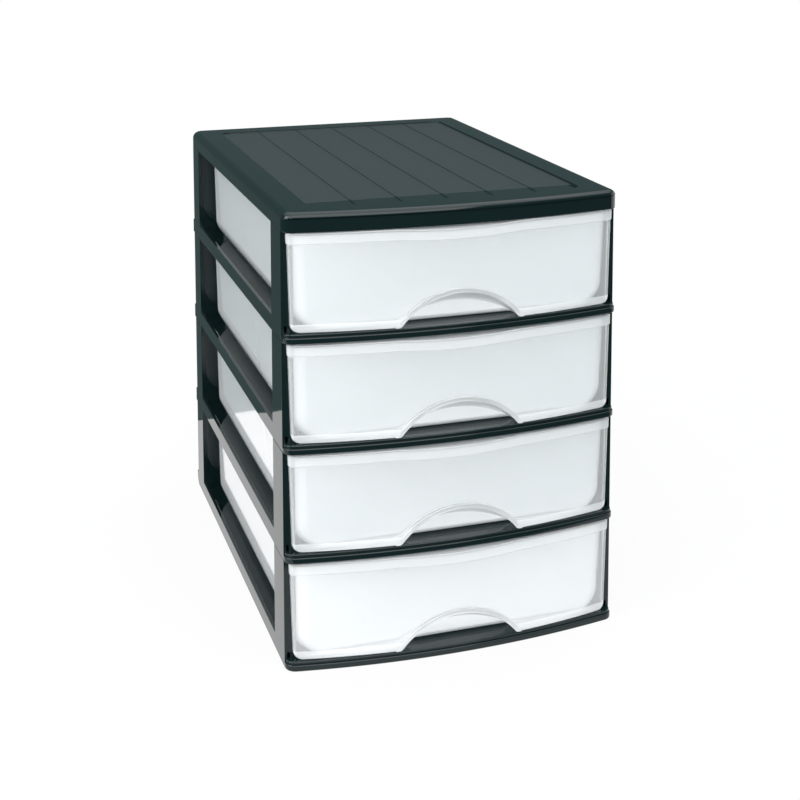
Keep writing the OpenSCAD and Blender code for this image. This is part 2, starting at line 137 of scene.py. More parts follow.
@dataclass(frozen=True)
class Plan:
    """Outline seen from above: bowed or straight front, rounded corners.

    bow_radius 0 stands for a straight front.
    """

    width: float
    front: float
    corner: float
    back: float
    bow_radius: float = 0.0
    back_corner: float = 0.0
    steps: int = 8
    bow_steps: int = 48

    def grown(self, side: float, front: float, back: float = 0.0) -> "Plan":
        """The outline with its sides, front and back moved inward.

        Args:
            side: How far each side moves in.
            front: How far the front moves back.
            back: How far the rear line moves forward.

        Returns:
            The smaller outline.
        """
        least = 0.3
        return replace(
            self,
            width=self.width - 2 * side,
            front=self.front + front,
            corner=max(self.corner - min(side, front), least),
            back=self.back - back,
            bow_radius=self.bow_radius and self.bow_radius - front,
            back_corner=self.back_corner and max(self.back_corner - min(side, back), least),
        )

    def trace(self, bm: BMesh, z: float, closed: bool = True) -> Edges:
        """Draws the outline as a chain of edges.

        Args:
            bm: Mesh to draw into.
            z: Height of the outline.
            closed: Whether the rear line and rear corners are drawn too.

        Returns:
            The outline's edges.
        """
        pen = Pen(bm, z)
        x = self.width / 2 - self.corner
        if self.bow_radius:
            centre = self.front + self.bow_radius
            y = centre - math.sqrt((self.bow_radius - self.corner) ** 2 - x**2)
            spread = math.asin(x / (self.bow_radius - self.corner))
        else:
            centre, y, spread = 0.0, self.front + self.corner, 0.0
        if not closed:
            pen.start(-self.width / 2, self.back)
            pen.line_to(-self.width / 2, y)
        else:
            pen.start(-self.width / 2, y)
        pen.turn(-x, y, QUARTER - spread, self.steps)
        if self.bow_radius:
            pen.turn(0.0, centre, 2 * spread, self.bow_steps)
        else:
            for step in range(1, self.bow_steps + 1):
                pen.line_to(-x + 2 * x * step / self.bow_steps, self.front)
        pen.turn(x, y, QUARTER - spread, self.steps)
        rear = self.back_corner
        if not closed:
            pen.line_to(self.width / 2, self.back)
            return pen.edges
        pen.line_to(self.width / 2, self.back - rear)
        if rear:
            pen.turn(self.width / 2 - rear, self.back - rear, QUARTER, self.steps)
        pen.line_to(rear - self.width / 2, self.back)
        if rear:
            pen.turn(rear - self.width / 2, self.back - rear, QUARTER, self.steps)
        pen.close()
        return pen.edges


class Pen:
    """Draws a chain of edges on a level plane, with straight runs and spun arcs."""

    def __init__(self, bm: BMesh, z: float) -> None:
        """Gets ready to draw.

        Args:
            bm: Mesh to draw into.
            z: Height of the plane.
        """
        self.bm = bm
        self.z = z
        self.edges: Edges = []
        self.first: bmesh.types.BMVert | None = None
        self.last: bmesh.types.BMVert | None = None

    def start(self, x: float, y: float) -> None:
        """Sets the pen down."""
        self.first = self.last = self.bm.verts.new((x, y, self.z))

    def line_to(self, x: float, y: float) -> None:
        """Draws a straight edge.

        Args:
            x: Where it ends.
            y: Where it ends.
        """
        vert = self.bm.verts.new((x, y, self.z))
        self.edges.append(self.bm.edges.new((self.last, vert)))
        self.last = vert

    def turn(self, x: float, y: float, angle: float, steps: int) -> None:
        """Spins the pen's end round (x, y).

        Args:
            x: Centre of the arc.
            y: Centre of the arc.
            angle: Angle of the arc, counterclockwise seen from above.
            steps: Edges along the arc.
        """
        before = set(self.bm.edges)
        made = bmesh.ops.spin(
            self.bm,
            geom=[self.last],
            cent=(x, y, self.z),
            axis=(0, 0, 1),
            dvec=(0, 0, 0),
            angle=angle,
            steps=steps,
            use_duplicate=False,
        )
        self.edges.extend(e for e in self.bm.edges if e not in before)
        self.last = [g for g in made["geom_last"] if isinstance(g, bmesh.types.BMVert)][0]

    def close(self) -> None:
        """Draws the edge back to the start."""
        if (self.last.co - self.first.co).length > 1e-4:
            self.edges.append(self.bm.edges.new((self.last, self.first)))

    def fill(self) -> list[bmesh.types.BMFace]:
        """Closes the chain and fills it with a face, which it returns."""
        self.close()
        return bmesh.ops.contextual_create(self.bm, geom=self.edges)["faces"]


class Loft:
    """A skin drawn through a stack of outlines."""

    def __init__(self, bm: BMesh) -> None:
        """Starts an empty skin in bm."""
        self.bm = bm
        self.rings: list[Edges] = []

    def ring(self, plan: Plan, z: float, closed: bool = True) -> "Loft":
        """Adds the next outline and joins it to the one before.

        Args:
            plan: The outline.
            z: Its height.
            closed: Whether it is a closed loop.

        Returns:
            The loft itself.
        """
        edges = plan.trace(self.bm, z, closed)
        if self.rings:
            bmesh.ops.bridge_loops(self.bm, edges=self.rings[-1] + edges)
        self.rings.append(edges)
        return self

    def cap(self, index: int) -> list[bmesh.types.BMFace]:
        """Closes one of the outlines with a face, which it returns."""
        edges = self.rings[index]
        return bmesh.ops.edgeloop_fill(self.bm, edges=edges, mat_nr=0, use_smooth=False)["faces"]


def bar(
    bm: BMesh,
    low: Point,
    high: Point,
    soft: float = 0.3,
) -> None:
    """Adds a straight moulded rib or web with softened edges.

    Args:
        bm: Mesh to add to.
        low: Its lowest corner.
        high: Its highest corner.
        soft: Radius of its edges.
    """
    size = [h - l for l, h in zip(low, high)]
    centre = [(h + l) / 2 for l, h in zip(low, high)]
    made = bmesh.ops.create_cube(
        bm, size=1.0, matrix=Matrix.Translation(centre) @ Matrix.Diagonal((*size, 1.0))
    )
    edges = list({e for v in made["verts"] for e in v.link_edges})
    if soft:
        bevel(bm, edges, soft, 2)


def bevel(bm: BMesh, edges: Edges, width: float, segments: int) -> None:
    """Rounds edges.

    Args:
        bm: Mesh the edges are in.
        edges: The edges.
        width: Radius of the rounding.
        segments: Facets across it.
    """
    bmesh.ops.bevel(
        bm,
        geom=edges,
        offset=width,
        offset_type="OFFSET",
        affect="EDGES",
        segments=segments,
        profile=0.5,
        material=-1,
        clamp_overlap=True,
    )


def fillet_inset(radius: float, rise: float) -> float:
    """How far a rounded lower edge lies inside its wall.

    Args:
        radius: Radius of the rounding.
        rise: Height above the flat underside.

    Returns:
        The inset, 0 above the rounding.
    """
    if rise >= radius:
        return 0.0
    return radius - math.sqrt(max(radius**2 - (radius - max(rise, 0.0)) ** 2, 0.0))


def rounded(inset: float, z: float, radius: float, rising: bool) -> list[tuple[float, float]]:
    """Points round a band's upper or lower outer edge, as (inset, height) pairs.

    Args:
        inset: Inset of the band's face.
        z: Height of the band's flat edge.
        radius: Radius of the rounding.
        rising: True for a lower edge, which rises from the flat, False for an upper one.

    Returns:
        The points from low to high.
    """
    steps = 4
    points = []
    for step in range(steps + 1):
        turn = QUARTER * step / steps
        if rising:
            point = (inset + radius * (1 - math.sin(turn)), z + radius * (1 - math.cos(turn)))
        else:
            point = (inset + radius * (1 - math.cos(turn)), z - radius * (1 - math.sin(turn)))
        points.append(point)
    return points


def where(parts: Iterable, test: Callable[[Vector], bool]) -> list:
    """The edges or faces that have all their corners where the test is true."""
    return [part for part in parts if all(test(v.co) for v in part.verts)]


def lift(bm: BMesh, faces: list[bmesh.types.BMFace], way: Point) -> list[bmesh.types.BMVert]:
    """Gives a flat outline a thickness.

    Args:
        bm: Mesh it is in.
        faces: Its faces.
        way: Where their copy lies from them.

    Returns:
        The copy's corners.
    """
    made = bmesh.ops.extrude_face_region(bm, geom=faces)["geom"]
    verts = [g for g in made if isinstance(g, bmesh.types.BMVert)]
    bmesh.ops.translate(bm, vec=way, verts=verts)
    return verts


def freeze(bm: BMesh, name: str) -> bpy.types.Mesh:
    """Turns a bmesh into a mesh and frees it.

    Args:
        bm: The bmesh.
        name: Name of the mesh.

    Returns:
        The mesh.
    """
    mesh = bpy.data.meshes.new(name)
    bm.to_mesh(mesh)
    bm.free()
    return mesh


def put(name: str, data: bpy.types.ID) -> bpy.types.Object:
    """Makes an object and links it to the scene.

    Args:
        name: Its name.
        data: What it shows.

    Returns:
        The object.
    """
    obj = bpy.data.objects.new(name, data)
    bpy.context.scene.collection.objects.link(obj)
    return obj


def combine(first: BMesh, second: BMesh, operation: str) -> BMesh:
    """Joins two closed meshes, or cuts one out of the other. Both are freed.

    Args:
        first: The mesh that is changed.
        second: The mesh that is added or taken away.
        operation: UNION or DIFFERENCE.

    Returns:
        The new mesh.
    """
    holders = []
    for label, source in (("first", first), ("second", second)):
        bmesh.ops.recalc_face_normals(source, faces=source.faces)
        holders.append(put(label, freeze(source, label)))
    change = holders[0].modifiers.new("combine", "BOOLEAN")
    change.operation, change.solver, change.object = operation, "MANIFOLD", holders[1]
    bpy.context.view_layer.update()
    graph = bpy.context.evaluated_depsgraph_get()
    result = bmesh.new()
    result.from_mesh(holders[0].evaluated_get(graph).to_mesh())
    for mesh in [holder.data for holder in holders]:
        bpy.data.objects.remove(holders.pop(0))
        bpy.data.meshes.remove(mesh)
    return result


def absorb(bm: BMesh, other: BMesh) -> None:
    """Adds another mesh's faces to bm and frees the other.

    Args:
        bm: Mesh to add to.
        other: The other mesh.
    """
    mesh = freeze(other, "part")
    bm.from_mesh(mesh)
    bpy.data.meshes.remove(mesh)


def waste(radius: float, length: float, place: Matrix) -> BMesh:
    """The waste outside a rounded corner, as a cutter.

    It is drawn with the corner at the origin and the piece at -x and -y.

    Args:
        radius: Radius of the corner.
        length: Length of the corner's edge, along z.
        place: Where the corner belongs.

    Returns:
        Its mesh, a closed form.
    """
    bm = bmesh.new()
    pen = Pen(bm, 0.0)
    pen.start(0.0, -radius)
    pen.turn(-radius, -radius, QUARTER, 12)
    for corner in ((-radius, 1.0), (1.0, 1.0), (1.0, -radius)):
        pen.line_to(*corner)
    lift(bm, pen.fill(), (0, 0, length))
    bmesh.ops.transform(bm, matrix=place, verts=bm.verts)
    return bm


def add_ribs(bm: BMesh, low: float, high: float, end: float) -> None:
    """Adds the stop rib and the lengthways ribs that run back from it.

    Args:
        bm: Mesh to add to.
        low: Height of the ribs' lower edges.
        high: Height that the stop rib reaches into the plate above.
        end: Rear end of the lengthways ribs.
    """
    span, stop, half = SIZE.half - SIZE.rib_margin, SIZE.stop, SIZE.rib / 2
    bar(bm, (-span, stop, low), (span, stop + SIZE.rib, high), SIZE.rib_soft)
    for x in SIZE.rib_places:
        bar(bm, (x - half, stop, low), (x + half, end, high - 0.05), SIZE.rib_soft)


@dataclass
class Workshop:
    """Turns finished bmeshes into dressed pieces that ride on their bodies."""

    finishes: dict[str, Material]
    smooth_degrees: float = 32.0

    def deliver(
        self, bm: BMesh, node: str, name: str, body: str, slot: str, tier: int = 1
    ) -> None:
        """Places a finished mesh in the shared frame.

        Args:
            bm: The mesh, in millimetres and at the lowest tier's height.
            node: CAD node that it stands for.
            name: Name of the piece.
            body: CAD body that it moves with.
            slot: Material slot of the record, which its finish is kept under too.
            tier: The tier that it belongs to.
        """
        bmesh.ops.translate(bm, vec=(0, 0, SIZE.floor_of(tier)), verts=bm.verts)
        bmesh.ops.remove_doubles(bm, verts=bm.verts, dist=WELD)
        bmesh.ops.dissolve_degenerate(bm, dist=WELD / 2, edges=bm.edges)
        bmesh.ops.translate(bm, vec=(0, -SIZE.middle, 0), verts=bm.verts)
        bmesh.ops.scale(bm, vec=(MM, MM, MM), verts=bm.verts)
        bmesh.ops.recalc_face_normals(bm, faces=bm.faces)
        mesh = freeze(bm, name)
        mesh.materials.append(self.finishes[slot])
        obj = put(name, mesh)
        mesh.shade_smooth()
        mesh.set_sharp_from_angle(angle=math.radians(self.smooth_degrees))
        obj.modifiers.new("flat_faces", "WEIGHTED_NORMAL").keep_sharp = True
        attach(obj, body)
        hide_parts(node)
        LOG.info("%s: %d faces", name, len(mesh.polygons))


# ---------------------------------------------------------------- finishes


class Nodes:
    """Short hand for building a node tree."""

    def __init__(self, tree: bpy.types.NodeTree) -> None:
        """Empties the tree and keeps it."""
        self.tree = tree
        tree.nodes.clear()

    def add(self, kind: str, **values: object) -> bpy.types.Node:
        """Adds a node.

        Args:
            kind: Its bl_idname.
            **values: Attributes, or input sockets where the name starts with in_.

        Returns:
            The node.
        """
        node = self.tree.nodes.new(kind)
        for key, value in values.items():
            if key.startswith("in_"):
                node.inputs[key[3:].replace("_", " ")].default_value = value
            else:
                setattr(node, key, value)
        return node

    def feed(self, value: Value, target: Socket) -> None:
        """Links a socket, or sets a plain value."""
        if isinstance(value, Socket):
            self.tree.links.new(value, target)
        else:
            target.default_value = value

    def pick(self, kind: str, output: str) -> Socket:
        """Adds a node and gives one of its outputs."""
        return self.add(kind).outputs[output]

    def sum(self, operation: str, first: Value, second: Value) -> Socket:
        """Works out one step of arithmetic.

        Args:
            operation: The Math node's operation.
            first: Its first value.
            second: Its second value.

        Returns:
            The result's socket.
        """
        node = self.add("ShaderNodeMath", operation=operation)
        self.feed(first, node.inputs[0])
        self.feed(second, node.inputs[1])
        return node.outputs[0]

    def blend(self, share: Value, first: Value, second: Value, kind: str = "FLOAT") -> Socket:
        """Blends two numbers or two colours.

        Args:
            share: 0 for the first, 1 for the second.
            first: The first one.
            second: The second one.
            kind: FLOAT, or RGBA for colours.

        Returns:
            The result's socket.
        """
        node = self.add("ShaderNodeMix", data_type=kind)
        for value, name in ((share, "Factor"), (first, "A"), (second, "B")):
            self.feed(value, node.inputs[name])
        return node.outputs["Result"]

    def mix(self, share: Socket, first: Socket, second: Socket) -> Socket:
        """Mixes two surfaces.

        Args:
            share: 0 for the first, 1 for the second.
            first: The first surface.
            second: The second surface.

        Returns:
            The mixed surface's socket.
        """
        node = self.add("ShaderNodeMixShader")
        for value, target in zip((share, first, second), node.inputs):
            self.feed(value, target)
        return node.outputs["Shader"]

    def noise(self, place: Socket, scale: float, detail: float = 2.0) -> Socket:
        """Soft noise.

        Args:
            place: Socket with the place on the object.
            scale: Its scale per metre.
            detail: Its finer layers.

        Returns:
            The socket that holds it.
        """
        node = self.add("ShaderNodeTexNoise", in_Scale=scale, in_Detail=detail)
        self.feed(place, node.inputs["Vector"])
        return node.outputs["Fac"]

    def spread(self, value: Socket, low: float, high: float) -> Socket:
        """Stretches a number from 0 to 1 over a range.

        Args:
            value: The number.
            low: What 0 becomes.
            high: What 1 becomes.

        Returns:
            The result's socket.
        """
        node = self.add("ShaderNodeMapRange", in_To_Min=low, in_To_Max=high)
        self.feed(value, node.inputs["Value"])
        return node.outputs["Result"]

    def split(self, place: Socket) -> bpy.types.NodeOutputs:
        """Splits a place into its three numbers.

        Args:
            place: Socket with the place.

        Returns:
            The sockets X, Y and Z.
        """
        node = self.add("ShaderNodeSeparateXYZ")
        self.feed(place, node.inputs["Vector"])
        return node.outputs

    def rise(self, place: Socket) -> Socket:
        """The height above the underside of the tier, in metres."""
        return self.sum("MODULO", self.split(place)["Z"], SIZE.tier * MM)

    def end(self, surface: Socket, kind: str = "ShaderNodeOutputMaterial") -> None:
        """Links the finished surface to a new output node."""
        self.feed(surface, self.add(kind).inputs["Surface"])


def new_material(name: str) -> tuple[Material, Nodes]:
    """Makes a material with an empty node tree.

    Args:
        name: Its name.

    Returns:
        The material and its nodes.
    """
    material = bpy.data.materials.new(name)
    material.use_nodes = True
    return material, Nodes(material.node_tree)


@dataclass(frozen=True)
class Patch:
    """A box in metres within which a surface is rougher than around it."""

    middle: Point
    half: Point
    colour: Colour
    roughness: float
    grain: float

    def mask(self, nodes: Nodes, place: Socket) -> Socket:
        """1 within the box, 0 outside it.

        Args:
            nodes: Node tree to build in.
            place: Socket with the place on the object.

        Returns:
            The socket that holds it.
        """
        parts = nodes.split(place)
        near = []
        for axis, middle, half in zip("XYZ", self.middle, self.half):
            away = nodes.sum("ABSOLUTE", nodes.sum("SUBTRACT", parts[axis], middle), 0.0)
            near.append(nodes.sum("LESS_THAN", away, half))
        return nodes.sum("MULTIPLY", nodes.sum("MULTIPLY", near[0], near[1]), near[2])


@dataclass(frozen=True)
class BlackPlastic:
    """Injection moulded black plastic, glossy or finely grained."""

    name: str
    colour: Colour
    roughness: float
    grain: float = 0.0
    patch: Patch | None = None
    grain_size: float = 900.0
    grain_depth: float = 0.0002
    wear_size: float = 38.0
    ior: float = 1.45

    def make(self) -> Material:
        """Builds the material.

        Returns:
            The material.
        """
        material, nodes = new_material(self.name)
        place = nodes.pick("ShaderNodeTexCoord", "Object")
        colour = (*self.colour, 1.0)
        shader = nodes.add("ShaderNodeBsdfPrincipled", in_Base_Color=colour, in_IOR=self.ior)
        bump = nodes.add("ShaderNodeBump", in_Strength=self.grain, in_Distance=self.grain_depth)
        nodes.feed(nodes.noise(place, self.grain_size), bump.inputs["Height"])
        nodes.feed(bump.outputs["Normal"], shader.inputs["Normal"])
        wear = nodes.noise(place, self.wear_size, 3.0)
        rough = nodes.spread(wear, self.roughness * 0.85, self.roughness * 1.2)
        if self.patch:
            inside = self.patch.mask(nodes, place)
            rough = nodes.blend(inside, rough, self.patch.roughness)
            nodes.feed(nodes.blend(inside, self.grain, self.patch.grain), bump.inputs["Strength"])
            tone = nodes.blend(inside, colour, (*self.patch.colour, 1.0), "RGBA")
            nodes.feed(tone, shader.inputs["Base Color"])
        nodes.feed(rough, shader.inputs["Roughness"])
        nodes.end(shader.outputs["BSDF"])
        return material


@dataclass(frozen=True)
class Bands:
    """Places on a drawer front, in metres, where the plastic is thicker and milkier."""

    arch_centre: float = -0.0264
    arch_reach: float = 0.0595
    rim: float = 0.0702
    dip: float = 0.0018
    dip_half: float = 0.046
    foot: float = 0.0131
    clarity: float = 0.6
    roughness: float = 0.2

    def mask(self, nodes: Nodes, place: Socket) -> Socket:
        """1 on the rim, the foot band and the arch, 0 between them.

        Args:
            nodes: Node tree to build in.
            place: Socket with the place on the object.

        Returns:
            The socket that holds it.
        """
        rise, x = nodes.rise(place), nodes.split(place)["X"]
        away = nodes.sum("SUBTRACT", rise, self.arch_centre)
        across = nodes.sum("MULTIPLY", x, x)
        square = nodes.sum("ADD", across, nodes.sum("MULTIPLY", away, away))
        arch = nodes.sum("LESS_THAN", square, self.arch_reach**2)
        bend = nodes.sum("MULTIPLY", across, -self.dip / self.dip_half**2)
        lifted = nodes.sum("MAXIMUM", nodes.sum("ADD", bend, self.dip), 0.0)
        rim = nodes.sum("GREATER_THAN", nodes.sum("ADD", rise, lifted), self.rim)
        foot = nodes.sum("LESS_THAN", rise, self.foot)
        return nodes.sum("MAXIMUM", nodes.sum("MAXIMUM", arch, rim), foot)


@dataclass(frozen=True)
class MilkyFloor:
    """The tray's floor, whose plastic is milkier than its walls; heights in metres."""

    height: float = 0.0096
    clarity: float = 0.15
    roughness: float = 0.3

    def mask(self, nodes: Nodes, place: Socket) -> Socket:
        """1 on the floor, 0 above it.

        Args:
            nodes: Node tree to build in.
            place: Socket with the place on the object.

        Returns:
            The socket that holds it.
        """
        return nodes.sum("LESS_THAN", nodes.rise(place), self.height)


@dataclass(frozen=True)
class ClearPlastic:
    """Clear or frosted plastic of the drawers, which lets soft light through."""

    name: str
    colour: Colour
    roughness: float
    clarity: float
    milky: Bands | MilkyFloor
    frost_size: float = 60.0
    coat: float = 0.5
    coat_roughness: float = 0.05
    ior: float = 1.49

    def make(self) -> Material:
        """Builds the material.

        Returns:
            The material.
        """
        material, nodes = new_material(self.name)
        place = nodes.pick("ShaderNodeTexCoord", "Object")
        shader = nodes.add(
            "ShaderNodeBsdfPrincipled",
            in_Base_Color=(*self.colour, 1.0),
            in_IOR=self.ior,
            in_Coat_Weight=self.coat,
            in_Coat_Roughness=self.coat_roughness,
        )
        frost = nodes.noise(place, self.frost_size)
        rough = nodes.spread(frost, self.roughness * 0.9, self.roughness * 1.1)
        mask = self.milky.mask(nodes, place)
        rough = nodes.blend(mask, rough, self.milky.roughness)
        clarity = nodes.blend(mask, self.clarity, self.milky.clarity)
        nodes.feed(rough, shader.inputs["Roughness"])
        nodes.feed(clarity, shader.inputs["Transmission Weight"])
        path = nodes.add("ShaderNodeLightPath").outputs
        share = nodes.sum("MAXIMUM", path["Is Shadow Ray"], path["Is Diffuse Ray"])
        clear = nodes.pick("ShaderNodeBsdfTransparent", "BSDF")
        nodes.end(nodes.mix(share, shader.outputs["BSDF"], clear))
        return material


def make_finishes() -> dict[str, Material]:
    """Makes the tower's materials.

    Returns:
        The materials, each under its slot's name.
    """
    black = (0.0035, 0.011, 0.0118)
    worn = (0.009, 0.019, 0.021)
    planks = Patch((0.0, 0.0116, 0.3312), (0.1044, 0.1517, 0.0016), worn, 0.45, 0.35)
    kinds = (
        BlackPlastic("frame_plastic", black, 0.045),
        BlackPlastic("cover_plastic", black, 0.1, 0.03, planks),
        ClearPlastic("clear_tray", (0.94, 0.957, 0.97), 0.08, 0.52, MilkyFloor()),
        ClearPlastic("clear_front", (0.95, 0.964, 0.975), 0.16, 0.78, Bands()),
    )
    return {kind.name: kind.make() for kind in kinds}


# ---------------------------------------------------------------- decks


@dataclass
class Deck:
    """Deck plate with its bowed, grooved front edge and ribs below."""

    band: float = 4.6
    groove: float = 0.6
    groove_depth: float = 1.4
    step: float = 0.8
    plate: float = 2.8
    fit: float = 0.2
    rail: float = 4.0
    rib_lift: float = 0.5
    wall: float = 2.2
    soft: float = 0.3

    def draw(self) -> BMesh:
        """Draws the lowest deck.

        Returns:
            Its mesh.
        """
        bm = bmesh.new()
        self.front_edge(bm)
        self.deck_plate(bm)
        self.ribs(bm)
        return bm

    def front_edge(self, bm: BMesh) -> None:
        """Two rounded bands with a groove between them.

        Args:
            bm: Mesh to add to.
        """
        plan = Plan(SIZE.width, SIZE.front, SIZE.corner, 0.0, SIZE.bow_radius)
        top = SIZE.deck_top
        upper = self.band + self.groove
        profile = [
            *rounded(0.0, 0.0, 1.0, True),
            *rounded(0.0, self.band, 0.9, False),
            (self.groove_depth, self.band),
            (self.groove_depth, upper),
            *rounded(self.step, upper, 0.35, True),
            *rounded(self.step, top, 0.7, False),
        ]
        loft = Loft(bm)
        for inset, z in profile:
            loft.ring(plan.grown(inset, inset), z)
        loft.cap(0)
        loft.cap(-1)

    def deck_plate(self, bm: BMesh) -> None:
        """The plate that the drawer slides on, notched round the posts.

        Args:
            bm: Mesh to add to.
        """
        wide = SIZE.half - SIZE.front_post_width - self.fit
        mid = SIZE.half - self.rail - self.fit
        narrow = SIZE.half - SIZE.rear_post_width - self.fit
        start, first = 0.05, SIZE.front_post_depth + self.fit
        last, end = SIZE.rear_post - self.fit, SIZE.frame_depth - self.wall
        right = [(wide, first), (mid, first), (mid, last), (narrow, last), (narrow, end)]
        left = [(-x, y) for x, y in reversed(right)]
        pen = Pen(bm, SIZE.deck_top - self.plate)
        pen.start(-wide, start)
        for corner in [(wide, start), *right, *left]:
            pen.line_to(*corner)
        verts = lift(bm, pen.fill(), (0, 0, self.plate))
        bevel(bm, list({e for v in verts for e in v.link_edges}), self.soft, 2)

    def ribs(self, bm: BMesh) -> None:
        """The rear apron and the ribs below the plate.

        Args:
            bm: Mesh to add to.
        """
        end, rib = SIZE.frame_depth - self.wall, SIZE.rib
        narrow = SIZE.half - SIZE.rear_post_width - self.fit
        low, high = self.rib_lift, SIZE.deck_top - self.plate + SIZE.bite
        bar(bm, (-narrow, end - rib, low), (narrow, end - 0.02, high), SIZE.rib_soft)
        add_ribs(bm, low, high, end - rib / 2)


# ---------------------------------------------------------------- side frames


@dataclass
class SideFrame:
    """One side of a tier: bottom rail, front post open inward, rear post open to the back."""

    tier: int
    side: Side
    rail_height: float = 11.6
    rail: float = 4.0
    rail_round: float = 1.9
    wall: float = 2.2
    post_end: float = 3.0
    rib: float = 2.0
    ledge: float = 4.0
    rear_round: float = 5.0
    base_round: float = 8.0
    gap: float = 0.15
    seam: float = 0.12
    skin_soft: float = 0.45
    web_soft: float = 0.4
    plate_soft: float = 0.2
    inlay: float = 0.1
    overlap: float = 0.6

    def draw(self) -> BMesh:
        """Draws the side frame at the lowest tier's height.

        Returns:
            Its mesh.
        """
        bm = self.skin()
        self.rail_inside(bm)
        self.front_post(bm)
        self.rear_post(bm)
        self.ledge_strip(bm)
        bmesh.ops.translate(bm, vec=(-SIZE.half, 0, 0), verts=bm.verts)
        if self.side is Side.RIGHT:
            bmesh.ops.scale(bm, vec=(-1, 1, 1), verts=bm.verts)
        return bm

    def skin(self) -> BMesh:
        """The outer U of rail and posts, drawn in its own plane and given the wall's thickness.

        Returns:
            Its mesh.
        """
        bm = bmesh.new()
        top, depth, rail = SIZE.tier - self.seam, SIZE.frame_depth, self.rail_height
        exact, near, rail_length, sharp_turn = 0.01, 1.0, 50.0, math.radians(40)
        first, last = SIZE.front_post_depth, SIZE.rear_post
        corners = [
            (0.0, self.seam),
            (depth, self.seam),
            (depth, top),
            (last, top),
            (last, rail),
            (first, rail),
            (first, top),
            (0.0, top),
        ]
        face = bm.faces.new([bm.verts.new((0.0, y, z)) for y, z in corners])
        lift(bm, [face], (self.wall, 0, 0))
        bmesh.ops.recalc_face_normals(bm, faces=bm.faces)
        if self.tier == 1:
            foot = where(bm.edges, lambda p: p.y > depth - near and p.z < near)
            bevel(bm, foot, self.base_round, 8)
        on_rail = where(bm.edges, lambda p: abs(p.z - rail) < exact and p.x < exact)
        bevel(bm, [e for e in on_rail if e.calc_length() > rail_length], self.rail_round, 5)
        by_rail = set(where(bm.edges, lambda p: abs(p.z - rail) < 3 * near))
        sharp = [e for e in bm.edges if e.calc_face_angle(0.0) > sharp_turn]
        bevel(bm, [e for e in sharp if e not in by_rail], self.skin_soft, 2)
        place = Matrix.Translation((0, depth, rail)) @ Matrix.Diagonal((-1, 1, 1, 1))
        return combine(bm, waste(self.rear_round, SIZE.tier, place), "DIFFERENCE")

    def web(
        self, bm: BMesh, low: Point, high: Point, soft: float = 0.3, inner_round: float = 0.0
    ) -> None:
        """Adds a web, and cuts it to the base frame's rounded lower rear corner.

        Args:
            bm: Mesh to add to.
            low: Its lowest corner.
            high: Its highest corner.
            soft: Radius of its edges.
            inner_round: Radius of its upper inner edge where that one alone is rounded.
        """
        piece = bmesh.new()
        bar(piece, low, high, soft)
        if inner_round:
            x, _, z = (edge - self.inlay for edge in high)
            inner = where(piece.edges, lambda p: p.x > x and p.z > z)
            bevel(piece, inner, inner_round, 5)
        if self.tier == 1 and high[1] > SIZE.frame_depth - self.base_round:
            corner = Matrix(
                ((0, 0, 1, -1), (1, 0, 0, SIZE.frame_depth), (0, -1, 0, 0), (0, 0, 0, 1))
            )
            length = SIZE.rear_post_width + 3
            piece = combine(piece, waste(self.base_round, length, corner), "DIFFERENCE")
        absorb(bm, piece)

    def rail_inside(self, bm: BMesh) -> None:
        """The rail's inner half, rounded along its inner top edge.

        Args:
            bm: Mesh to add to.
        """
        low = (self.rail_round, self.inlay, self.gap)
        high = (self.rail, SIZE.frame_depth - self.inlay, self.rail_height - 0.01)
        self.web(bm, low, high, 0.0, self.rail_round)

    def front_post(self, bm: BMesh) -> None:
        """The front post's two webs and its ends; it is open inward.

        Args:
            bm: Mesh to add to.
        """
        low, high, inlay = self.gap, SIZE.tier - self.gap, self.inlay
        start, wide = self.wall - self.overlap, SIZE.front_post_width
        depth = SIZE.front_post_depth
        for first, last in ((inlay, self.wall), (depth - self.wall, depth - inlay)):
            self.web(bm, (start, first, low), (wide, last, high), self.web_soft)
        near, far, inner = 3 * inlay, depth - 3 * inlay, wide - inlay / 2
        for first, last in ((low, self.post_end), (SIZE.tier - self.post_end, high)):
            self.web(bm, (start, near, first), (inner, far, last), self.plate_soft)

    def rear_post(self, bm: BMesh) -> None:
        """The rear post's front web, inner web, ends and middle plate; it is open to the back.

        Args:
            bm: Mesh to add to.
        """
        low, high, inlay = self.gap, SIZE.tier - self.gap, self.inlay
        front, back = SIZE.rear_post, SIZE.frame_depth
        start, width = self.wall - self.overlap, SIZE.rear_post_width
        face = (width, front + self.wall, high)
        self.web(bm, (start, front + inlay, low), face, self.web_soft)
        inside = (width - 0.02, back - inlay, high - inlay)
        self.web(bm, (width - self.wall, front + 3 * inlay, low + inlay), inside)
        middle = (SIZE.tier - self.rib) / 2
        plates = (
            (low + inlay / 2, self.post_end),
            (middle, middle + self.rib),
            (SIZE.tier - self.post_end, high - inlay / 2),
        )
        near, far = front + 1.0, back - 1.2
        for first, last in plates:
            self.web(bm, (start, near, first), (width - 1.0, far, last), self.plate_soft)

    def ledge_strip(self, bm: BMesh) -> None:
        """The ledge that carries the deck.

        Args:
            bm: Mesh to add to.
        """
        first, last = SIZE.front_post_depth + 0.2, SIZE.rear_post - 0.2
        bar(bm, (self.rail - 0.3, first, 0.5), (self.rail + self.ledge, last, 4.15), 0.2)


# ---------------------------------------------------------------- drawers


